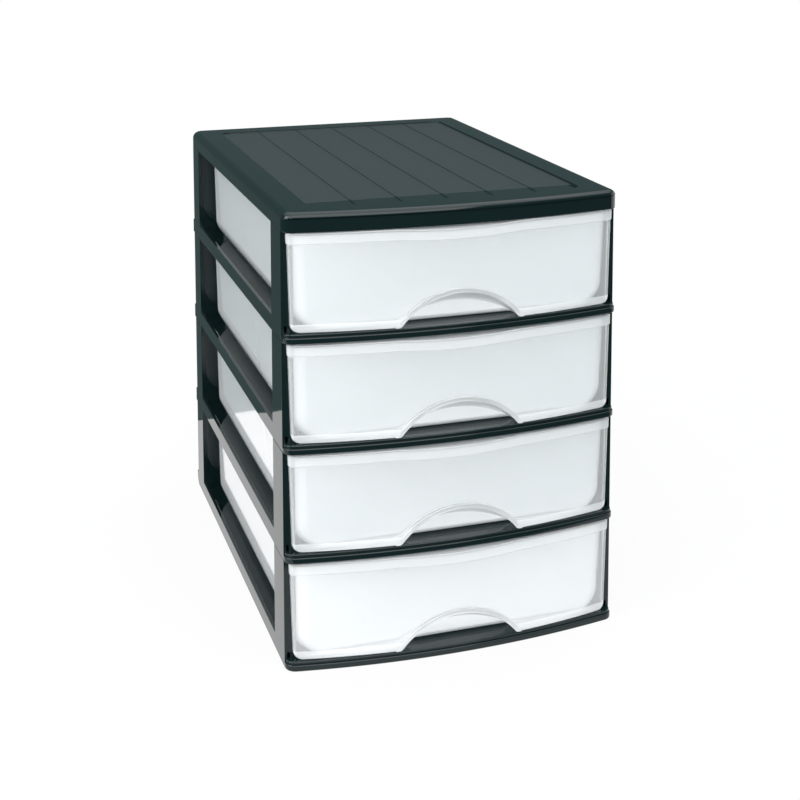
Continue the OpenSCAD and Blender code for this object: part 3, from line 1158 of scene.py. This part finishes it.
@dataclass
class Tray:
    """Clear tray of a drawer, with rounded lower edges and stop tabs."""

    wall: float = 2.0
    half: float = 119.5
    floor: float = 7.2
    rim: float = 76.2
    draft: float = 2.0
    edge: float = 17.0
    front_edge: float = 4.0
    rear_corner: float = 20.0
    front_corner: float = 9.0
    front: float = -4.0
    back: float = 302.0
    tab: tuple[float, float, float, float] = (57.0, 14.0, 3.0, 5.8)

    def draw(self) -> BMesh:
        """Draws the lowest drawer's tray.

        Returns:
            Its mesh.
        """
        bm = bmesh.new()
        self.shell(bm)
        self.tabs(bm)
        return bm

    def plan_at(self, z: float, inset: float) -> Plan:
        """The tray's outline at a height.

        Args:
            z: The height.
            inset: 0 for the outside, the wall's thickness for the inside.

        Returns:
            The outline.
        """
        rise = z - (self.floor + inset)
        slope = self.draft / (self.rim - self.floor)
        side = inset + slope * (self.rim - z) + fillet_inset(self.edge - inset, rise)
        front = inset + fillet_inset(max(self.front_edge - inset, 1.0), rise)
        back = inset + fillet_inset(self.edge - inset, rise)
        return Plan(
            2 * (self.half - side),
            self.front + front,
            max(self.front_corner - inset, 0.8),
            self.back - back,
            0.0,
            max(self.rear_corner - max(side, back), 2.5),
            10,
            4,
        )

    def heights(self, inset: float) -> list[float]:
        """Heights of the outlines, close together where the lower edge turns.

        Args:
            inset: 0 for the outside, the wall's thickness for the inside.

        Returns:
            The heights from the floor up.
        """
        low = self.floor + inset
        radius = self.edge - inset
        turns = 12
        levels = [low + radius * (1 - math.cos(QUARTER * k / turns)) for k in range(turns + 1)]
        small = max(self.front_edge - inset, 1.0)
        levels += [low + small * (1 - math.cos(QUARTER * k / 4)) for k in range(1, 5)]
        return sorted(set(round(v, 4) for v in levels))

    def shell(self, bm: BMesh) -> None:
        """Outside and inside skins joined at a softly rounded rim.

        Args:
            bm: Mesh to add to.
        """
        loft = Loft(bm)
        for z in self.heights(0.0):
            loft.ring(self.plan_at(z, 0.0), z)
        rim = ((0.0, self.rim - 0.5), (0.15, self.rim - 0.15), (0.5, self.rim))
        for inset, z in rim:
            loft.ring(self.plan_at(z, 0.0).grown(inset, inset, inset), z)
        for inset, z in reversed(rim):
            loft.ring(self.plan_at(z, self.wall).grown(-inset, -inset, -inset), z)
        for z in reversed(self.heights(self.wall)):
            loft.ring(self.plan_at(z, self.wall), z)
        loft.cap(0)
        loft.cap(-1)

    def tabs(self, bm: BMesh) -> None:
        """The two stop tabs inside the rear wall.

        Args:
            bm: Mesh to add to.
        """
        x, width, thick, rise = self.tab
        y = self.back - self.wall - thick + 0.2
        for side in (-1, 1):
            low = (side * x - width / 2, y, self.rim - 2 * thick)
            high = (side * x + width / 2, y + thick - 0.4, self.rim + rise)
            bar(bm, low, high, 0.5)


@dataclass(frozen=True)
class Arch:
    """One section of the finger pull, seen from the front: an arch with turned-out feet."""

    radius: float
    crown: float
    foot: float
    base: float
    below: float

    def trace(self, bm: BMesh) -> Edges:
        """Draws the section upright in the plane y = 0.

        Args:
            bm: Mesh to draw into.

        Returns:
            The section's edges.
        """
        centre = self.crown - self.radius
        foot_z = self.base + self.foot
        reach = self.radius + self.foot
        turn = math.asin((foot_z - centre) / reach)
        foot_x = reach * math.cos(turn)
        pen = Pen(bm, 0.0)
        pen.start(-foot_x, self.base - self.below)
        if self.below:
            pen.line_to(-foot_x, self.base)
        pen.turn(-foot_x, foot_z, QUARTER - turn, 6)
        pen.turn(0.0, centre, 2 * turn - math.pi, 64)
        pen.turn(foot_x, foot_z, QUARTER - turn, 6)
        if self.below:
            pen.line_to(foot_x, self.base - self.below)
        pen.close()
        verts = list({v for e in pen.edges for v in e.verts})
        upright = Matrix.Rotation(QUARTER, 3, "X")
        bmesh.ops.rotate(bm, cent=(0, 0, 0), matrix=upright, verts=verts)
        return pen.edges


@dataclass
class DrawerFront:
    """Clear bowed front panel with raised bands and an arched finger pull."""

    wall: float = 2.2
    face: float = -18.9
    bow: float = 14.2
    half_top: float = 123.6
    draft: float = 2.0
    low: float = 7.4
    high: float = 78.5
    lower_corner: float = 5.0
    corner: float = 3.0
    rim_band: float = 8.0
    foot_band: float = 5.5
    proud: float = 0.6
    back: float = -0.4
    dip: float = 1.8
    dip_half: float = 46.0
    wall_line: float = -4.2
    tray_half: float = 119.7
    tray_rim: float = 76.3
    arch_radius: float = 56.0
    arch_height: float = 22.2
    arch_band: float = 3.2
    foot: float = 3.0
    throat: float = 4.2
    hood_wall: float = 2.0
    rear_radius: float = 85.0
    rear_height: float = 13.0

    def draw(self) -> BMesh:
        """Draws the lowest drawer's front panel.

        Returns:
            Its mesh.
        """
        panel = bmesh.new()
        self.shell(panel)
        panel = combine(panel, self.tray_room(), "DIFFERENCE")
        panel = combine(panel, self.tunnel(True), "UNION")
        return combine(panel, self.tunnel(False), "DIFFERENCE")

    @property
    def bow_radius(self) -> float:
        """Radius of the face's bow."""
        return (self.half_top**2 + self.bow**2) / (2 * self.bow)

    def face_at(self, x: float) -> float:
        """The y of the panel's face at x."""
        return self.face + self.bow_radius - math.sqrt(self.bow_radius**2 - x**2)

    def plan_at(self, z: float, proud: float, wider: float, inset: float = 0.0) -> Plan:
        """The panel's outline at a height.

        Args:
            z: The height.
            proud: How far the band there stands ahead of the face.
            wider: How much wider the band is on each side.
            inset: Depth behind that surface.

        Returns:
            The outline.
        """
        rise = z - self.low - inset
        slope = self.draft / (self.high - self.low)
        corner = fillet_inset(self.lower_corner - min(inset, 3.0), rise)
        half = self.half_top + wider - slope * (self.high - z) - inset - corner
        depth = inset - proud
        return Plan(
            2 * half,
            self.face + depth,
            max(self.corner - depth, 1.0),
            self.back,
            self.bow_radius - depth,
            0.0,
            8,
            72,
        )

    def shell(self, bm: BMesh) -> None:
        """The outer face with its bands, turned back along the top and lower edges.

        Args:
            bm: Mesh to add to.
        """
        foot = self.low + self.foot_band
        rim = self.high - self.rim_band
        half_proud = self.proud / 2
        face = [
            (self.low, half_proud - 0.9, -0.9),
            (self.low + 0.25, half_proud - 0.3, -0.3),
            (self.low + 0.9, half_proud, 0.0),
            (self.low + 2.0, half_proud, 0.0),
            (self.low + 3.5, half_proud, 0.0),
            (foot - 0.3, half_proud, 0.0),
            (foot, half_proud - 0.15, 0.0),
            (foot + 0.3, 0.0, 0.0),
            (foot + 4.0, 0.0, 0.0),
            ((foot + rim) / 2, 0.0, 0.0),
            (rim - 0.3, 0.0, 0.0),
            (rim, 0.15, 0.15),
            (rim + 0.3, self.proud - 0.1, self.proud - 0.1),
            (rim + 0.6, self.proud, self.proud),
            (self.high - 1.0, self.proud, self.proud),
            (self.high - 0.3, self.proud - 0.3, self.proud - 0.3),
            (self.high, self.proud - 1.0, self.proud - 1.0),
        ]
        outside = Loft(bm)
        for z, proud, wider in face:
            outside.ring(self.plan_at(z, proud, wider), z)
        top = self.high - self.wall
        low = self.low + self.wall
        inside = Loft(bm)
        for z in (top, rim, foot, low + 2.6, low + 0.8, low):
            inside.ring(self.plan_at(z, 0.0, 0.0, self.wall), z)
        for skin in (outside, inside):
            skin.cap(0)
            skin.cap(-1)
        self.open_back(bm)
        self.press_dip(bm)

    def open_back(self, bm: BMesh) -> None:
        """Takes the rear faces off both skins and joins the skins there.

        Args:
            bm: Mesh to add to.
        """
        rear = where(bm.faces, lambda p: abs(p.y - self.back) < 0.01)
        bmesh.ops.delete(bm, geom=rear, context="FACES")
        rim = [e for e in bm.edges if e.is_boundary]
        bmesh.ops.triangle_fill(bm, use_beauty=True, edges=rim, normal=(0, 1, 0))

    def press_dip(self, bm: BMesh) -> None:
        """Lowers the middle of the rim into a shallow round dip.

        Args:
            bm: Mesh to add to.
        """
        radius = (self.dip_half**2 + self.dip**2) / (2 * self.dip)
        start = (self.low + self.high) / 2
        full = self.high - self.rim_band - 0.3
        for vert in bm.verts:
            if abs(vert.co.x) < self.dip_half and vert.co.z > start:
                share = min((vert.co.z - start) / (full - start), 1.0)
                drop = math.sqrt(radius**2 - vert.co.x**2) - radius + self.dip
                vert.co.z -= share * drop

    def tray_room(self) -> BMesh:
        """The room that the tray's front wall takes, as a cutter."""
        room = bmesh.new()
        low = (-self.tray_half, self.wall_line, 0.0)
        bar(room, low, (self.tray_half, 2.0, self.tray_rim), 0.0)
        return room

    def tunnel(self, outside: bool) -> BMesh:
        """The finger pull's tunnel, which falls from the arch to the tray's wall.

        Args:
            outside: True for the hood's outside with its raised arch, False for the room in it.

        Returns:
            Its mesh, a closed form.
        """
        ahead = -self.proud
        if outside:
            grow, below = self.arch_band, 0.0
            lips = [(ahead, -0.35), (ahead + 0.1, -0.1), (ahead + 0.3, 0.0), (self.throat, 0.0)]
        else:
            grow, below = 0.0, 2.0
            lips = [(ahead - 3.0, 0.35), (ahead, 0.35), (ahead + 0.1, 0.1), (ahead + 0.3, 0.0)]
            lips.append((self.throat, 0.0))
        stops = [(depth, 0.0, grow + edge) for depth, edge in lips]
        steps = 8
        for step in range(1, steps + 1):
            wall = self.hood_wall if outside else 0.0
            stops.append((self.throat, step / steps, wall))
        if not outside:
            stops.append((self.throat, 1.4, 0.0))
        bm = bmesh.new()
        rings = []
        for depth, share, grown in stops:
            fall = min(share, 1.0)
            radius = self.arch_radius + (self.rear_radius - self.arch_radius) * fall
            height = self.arch_height + (self.rear_height - self.arch_height) * fall
            foot = 0.3 + (0.0 if outside else (self.foot - 0.3) * (1 - fall))
            section = Arch(radius + grown, self.low + height + grown, foot, self.low, below)
            ring = section.trace(bm)
            for vert in {v for e in ring for v in e.verts}:
                near = self.face_at(vert.co.x) + depth
                vert.co.y = near + (self.wall_line - near) * share
            rings.append(ring)
        for first, second in zip(rings, rings[1:]):
            bmesh.ops.bridge_loops(bm, edges=first + second)
        for ring in (rings[0], rings[-1]):
            bmesh.ops.edgeloop_fill(bm, edges=ring, mat_nr=0, use_smooth=False)
        return bm


# ---------------------------------------------------------------- top cover


@dataclass
class TopCover:
    """Cover with a bowed nose, rounded long edges and a sunk, planked panel."""

    wall: float = 2.4
    edge: float = 6.0
    corner: float = 9.0
    nose: float = 4.3
    nose_out: float = 1.0
    nose_round: float = 3.8
    drop: float = 1.0
    margin: float = 23.0
    sunk: float = 1.5
    sunk_corner: float = 8.0
    sunk_bow: float = 5.0
    planks: int = 6
    gap: float = 1.2
    gap_depth: float = 0.6

    def draw(self) -> BMesh:
        """Draws the cover.

        Returns:
            Its mesh.
        """
        bm = bmesh.new()
        self.skin(bm)
        self.hem(bm)
        self.inside(bm)
        return bm

    @property
    def base(self) -> float:
        """Height of the posts' tops."""
        return TIERS * SIZE.tier

    @property
    def top(self) -> float:
        """Height of the cover's top."""
        return self.base + SIZE.cover_height

    @property
    def cavity(self) -> float:
        """Height of the plate's underside."""
        return self.top - self.sunk - self.wall

    @property
    def rear(self) -> float:
        """Rear line of the cover."""
        return SIZE.frame_depth + SIZE.cover_rear

    def nose_plan(self) -> Plan:
        """Outline of the cover over its nose."""
        return Plan(
            SIZE.width, SIZE.front, SIZE.corner, self.rear, SIZE.bow_radius, self.corner, 10, 60
        )

    def sunk_plan(self) -> Plan:
        """Outline of the sunk panel."""
        half, corner = SIZE.half - self.margin, self.sunk_corner
        bow = (half**2 + self.sunk_bow**2) / (2 * self.sunk_bow)
        front, back = SIZE.front + self.margin, self.rear - self.margin
        return Plan(2 * half, front, corner, back, bow, corner, 10, 60)

    def skin(self, bm: BMesh) -> None:
        """Outer skin from the hem up over the rounded edges and down into the sunk panel.

        Args:
            bm: Mesh to add to.
        """
        nose, sunk = self.nose_plan(), self.sunk_plan()
        fascia = nose.grown(0.0, self.nose_out)
        inner = fascia.grown(self.wall, self.wall, self.wall)
        loft = Loft(bm)
        for plan, z in ((inner, self.cavity), (inner, self.base), (fascia, self.base)):
            loft.ring(plan, z)
        top, under, turns = self.top, self.top - self.nose, 8
        levels = [top - self.edge * (1 - math.sin(QUARTER * k / turns)) for k in range(turns + 1)]
        at_nose = fillet_inset(self.edge, self.nose)
        steps = [
            (fillet_inset(self.edge, top - z), self.nose_out, z) for z in levels if z < under - 0.2
        ]
        for ahead, z in ((self.nose_out + 0.5, under - 0.05), (0.5, under), (0.15, under + 0.15)):
            steps.append((at_nose, ahead, z))
        for z in levels:
            if z > under + 0.5:
                ahead = fillet_inset(self.nose_round, top - z)
                steps.append((fillet_inset(self.edge, top - z), ahead, z))
        for side, ahead, z in steps:
            loft.ring(nose.grown(side, ahead, side), z)
        floor = top - self.sunk
        rim = ((-0.2, top), (-0.05, top - 0.05), (0.0, top - 0.2))
        for inset, z in (*rim, (0.0, floor + 0.3), (0.3, floor)):
            loft.ring(sunk.grown(inset, inset, inset), z)
        loft.cap(0)
        self.grooves(bm, loft.cap(-1))

    def grooves(self, bm: BMesh, floor: list[bmesh.types.BMFace]) -> None:
        """Presses the grooves between the planks into the sunk floor.

        Args:
            bm: The cover's mesh.
            floor: The face that is the sunk floor.
        """
        half, gap = SIZE.half - self.margin, self.gap / 2
        lines = [2 * half / self.planks * k - half for k in range(1, self.planks)]
        geom: list = list({g for f in floor for g in (f, *f.edges, *f.verts)})
        for edge in [line + side * gap for line in lines for side in (-1, 1)]:
            place = {"plane_co": (edge, 0, 0), "plane_no": (1, 0, 0)}
            geom = bmesh.ops.bisect_plane(bm, geom=geom, **place)["geom"]
        strips = [
            f
            for f in geom
            if isinstance(f, bmesh.types.BMFace)
            and any(abs(f.calc_center_median().x - line) < gap for line in lines)
        ]
        bmesh.ops.inset_region(
            bm, faces=strips, thickness=0.25, depth=-self.gap_depth, use_boundary=True
        )

    def hem(self, bm: BMesh) -> None:
        """The fascia's lower hem, a thin wall that hangs in front of the posts.

        Args:
            bm: Mesh to add to.
        """
        fascia = self.nose_plan().grown(0.0, self.nose_out)
        edge = replace(fascia, back=-0.3, back_corner=0.0)
        inner = edge.grown(self.wall, self.wall)
        low, high = self.base - self.drop, self.base - 0.01
        wall = bmesh.new()
        loft = Loft(wall)
        for plan, z in (
            (inner, low),
            (edge.grown(0.5, 0.5), low),
            (edge.grown(0.1, 0.1), low + 0.3),
            (edge, low + 0.6),
            (edge, high),
            (inner, high),
            (inner, low),
        ):
            loft.ring(plan, z, closed=False)
        bmesh.ops.remove_doubles(wall, verts=wall.verts, dist=WELD)
        ends = [e for e in wall.edges if e.is_boundary]
        bmesh.ops.holes_fill(wall, edges=ends, sides=0)
        absorb(bm, wall)

    def inside(self, bm: BMesh) -> None:
        """Ribs and the blocks that stand on the posts.

        Args:
            bm: Mesh to add to.
        """
        high = self.cavity + SIZE.bite
        add_ribs(bm, self.base + 0.5, high, self.rear - 2.0)
        posts = (
            (SIZE.front_post_width, 0.0, SIZE.front_post_depth),
            (SIZE.rear_post_width, SIZE.rear_post, SIZE.frame_depth),
        )
        for side in (-1, 1):
            for width, first, last in posts:
                near, far = sorted((side * (SIZE.half - width), side * (SIZE.half - 1.5)))
                bar(bm, (near, first, self.base + 0.02), (far, last, high - 0.1), 0.2)


# ---------------------------------------------------------------- studio


def direction(heading: float, down: float) -> Vector:
    """Where a look goes.

    Args:
        heading: Its turn to the left of straight back, in degrees.
        down: Its tilt below the level, in degrees.

    Returns:
        The unit vector.
    """
    az, el = math.radians(heading), math.radians(down)
    return Vector((-math.sin(az) * math.cos(el), math.cos(az) * math.cos(el), -math.sin(el)))


@dataclass
class Studio:
    """Floor, soft lamps, world and camera."""

    table: tuple[float, float, float, float] = (-1.3, 1.5, -0.32, 0.34)
    table_drop: float = 0.0002
    table_white: float = 0.3
    table_plain: float = 0.8
    table_glow: float = 1.135
    room: tuple[float, Colour] = (0.38, (0.1, 0.14, 0.14))
    ceiling: tuple[float, Colour] = (0.75, (1.3, 1.32, 1.35))
    backdrop_down: float = 19.8
    backdrop_reach: float = 21.5
    backdrop_fade: float = 1.5
    lens_px: float = 1490.57
    heading: float = -17.86
    down: float = 6.35
    roll: float = -0.09
    place: Point = (-231.30, -989.78, 563.22)
    axis_row: float = 43.22
    aim: Point = (0, 0, 0.16)

    def build(self) -> None:
        """Builds the camera first, then the floor, the world and the lamps."""
        self.camera()
        self.floor()
        self.world()
        self.lamps()

    def camera(self) -> None:
        """The photograph's camera, with its lens axis above the middle of the frame."""
        az, turn = math.radians(self.heading), math.radians(self.roll)
        ahead = direction(self.heading, self.down)
        right = Vector((math.cos(az), math.sin(az), 0.0))
        up = right.cross(ahead)
        rolled = math.cos(turn) * right + math.sin(turn) * up
        upright = -math.sin(turn) * right + math.cos(turn) * up
        data = bpy.data.cameras.new("photo_camera")
        data.sensor_width = 36.0
        data.lens = self.lens_px / PHOTO_PX * data.sensor_width
        data.shift_y = (self.axis_row - PHOTO_PX / 2) / PHOTO_PX
        data.dof.use_dof = False
        data.clip_start = 0.02
        camera = put("photo_camera", data)
        x, y, z = self.place
        spot = Vector((x - SIZE.half, y - SIZE.middle, z)) * MM
        turned = Matrix((rolled, upright, -ahead)).transposed().to_4x4()
        camera.matrix_world = Matrix.Translation(spot) @ turned
        bpy.context.scene.camera = camera

    def floor(self) -> None:
        """A plain pale table top that shows as white and keeps the tower's shadow."""
        x_low, x_high, y_low, y_high = self.table
        stretch = Matrix.Diagonal(((x_high - x_low) / 2, (y_high - y_low) / 2, 1.0, 1.0))
        middle = Matrix.Translation(((x_high + x_low) / 2, (y_high + y_low) / 2, 0.0))
        bm = bmesh.new()
        bmesh.ops.create_grid(bm, x_segments=1, y_segments=1, size=1.0, matrix=middle @ stretch)
        table = put("table", freeze(bm, "table"))
        table.location.z = -self.table_drop
        material, nodes = new_material("table_white")
        lit = nodes.add("ShaderNodeBsdfDiffuse", in_Color=(self.table_white,) * 3 + (1.0,))
        plain = nodes.add("ShaderNodeEmission", in_Strength=self.table_glow)
        share = nodes.sum("MULTIPLY", self.seen(nodes, True), self.table_plain)
        nodes.end(nodes.mix(share, lit.outputs["BSDF"], plain.outputs["Emission"]))
        table.data.materials.append(material)

    def seen(self, nodes: Nodes, camera: bool) -> Socket:
        """1 for glossy and transmission rays, 0 for the rest.

        Args:
            nodes: Node tree to build in.
            camera: Whether camera rays count too.

        Returns:
            The socket that holds it.
        """
        path = nodes.add("ShaderNodeLightPath").outputs
        total = nodes.sum("MAXIMUM", path["Is Glossy Ray"], path["Is Transmission Ray"])
        return nodes.sum("MAXIMUM", total, path["Is Camera Ray"]) if camera else total

    def world(self) -> None:
        """A dim room, soft light overhead and a white backdrop behind the tower.

        The backdrop fills the directions that the camera looks in. Camera rays see it
        all round, glossy and transmission rays where it stands.
        """
        world = bpy.data.worlds.new("studio")
        bpy.context.scene.world = world
        world.use_nodes = True
        nodes = Nodes(world.node_tree)
        place = nodes.pick("ShaderNodeTexCoord", "Generated")
        room = nodes.add("ShaderNodeValToRGB")
        for stop, (level, colour) in zip(room.color_ramp.elements, (self.room, self.ceiling)):
            stop.position, stop.color = level, (*colour, 1)
        nodes.feed(nodes.split(place)["Z"], room.inputs["Fac"])
        toward = nodes.add("ShaderNodeVectorMath", operation="DOT_PRODUCT")
        nodes.feed(place, toward.inputs[0])
        toward.inputs[1].default_value = direction(self.heading, self.backdrop_down)
        start = math.cos(math.radians(self.backdrop_reach + self.backdrop_fade))
        full = math.cos(math.radians(self.backdrop_reach))
        edge = nodes.add("ShaderNodeMapRange", in_From_Min=start, in_From_Max=full)
        nodes.feed(toward.outputs["Value"], edge.inputs["Value"])
        there = nodes.sum("MULTIPLY", edge.outputs["Result"], self.seen(nodes, False))
        shown = nodes.sum("MAXIMUM", there, nodes.pick("ShaderNodeLightPath", "Is Camera Ray"))
        back = nodes.add("ShaderNodeBackground")
        colour = nodes.blend(shown, room.outputs["Color"], (1, 1, 1, 1), "RGBA")
        nodes.feed(colour, back.inputs["Color"])
        nodes.end(back.outputs["Background"], "ShaderNodeOutputWorld")

    def lamps(self) -> None:
        """Soft rectangular lamps overhead, in front and on both sides of the tower.

        Each has its place and its size in metres and its power in watts.
        """
        for name, spot, size, watts in (
            ("overhead", (0.1, -0.3, 2.0), (2.4, 2.4), 16.0),
            ("front", (-0.5, -2.4, 1.3), (3.2, 2.0), 54.0),
            ("left", (-2.0, -0.6, 1.0), (1.6, 1.6), 38.0),
            ("right", (1.35, -0.1, 0.35), (1.6, 0.9), 6.0),
        ):
            data = bpy.data.lights.new(name, "AREA")
            data.shape = "RECTANGLE"
            data.size, data.size_y = size
            data.energy = watts
            look = Vector(self.aim) - Vector(spot)
            turned = look.to_track_quat("-Z", "Y").to_matrix().to_4x4()
            put(name, data).matrix_world = Matrix.Translation(spot) @ turned


# ---------------------------------------------------------------- assembly


def build_tower(shop: Workshop) -> None:
    """Builds every piece of the tower.

    Args:
        shop: Workshop that delivers the pieces.
    """
    shop.deliver(TopCover().draw(), "top_cover", "top_cover_piece", "tower", "cover_plastic")
    for tier in range(1, TIERS + 1):
        black = ("tower", "frame_plastic", tier)
        shop.deliver(Deck().draw(), f"deck_{tier}", f"deck_piece_{tier}", *black)
        for side in Side:
            node = f"side_frame_{side.value}_{tier}"
            shop.deliver(SideFrame(tier, side).draw(), node, f"{node}_piece", *black)
        for kind, piece in (("tray", Tray()), ("front", DrawerFront())):
            node = f"drawer_{kind}_{tier}"
            clear = (f"drawer_{tier}", f"clear_{kind}", tier)
            shop.deliver(piece.draw(), node, f"{node}_piece", *clear)


def dress_solids(finishes: dict[str, Material]) -> None:
    """Gives the hidden solids the finish of the piece that stands for them.

    Args:
        finishes: The tower's materials.
    """
    kinds = {
        "top_cover": "cover_plastic",
        "deck": "frame_plastic",
        "side_frame": "frame_plastic",
        "drawer_tray": "clear_tray",
        "drawer_front": "clear_front",
    }
    for name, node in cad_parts.items():
        slot = next(slot for kind, slot in kinds.items() if name.startswith(kind))
        node.data.materials.clear()
        node.data.materials.append(finishes[slot])


def main() -> None:
    """Builds the studio and the tower, and reports each piece."""
    logging.basicConfig(level=logging.INFO, format="%(message)s")
    bpy.context.scene.view_settings.view_transform = "Standard"
    Studio().build()
    finishes = make_finishes()
    dress_solids(finishes)
    build_tower(Workshop(finishes))


if __name__ == "__main__":
    main()
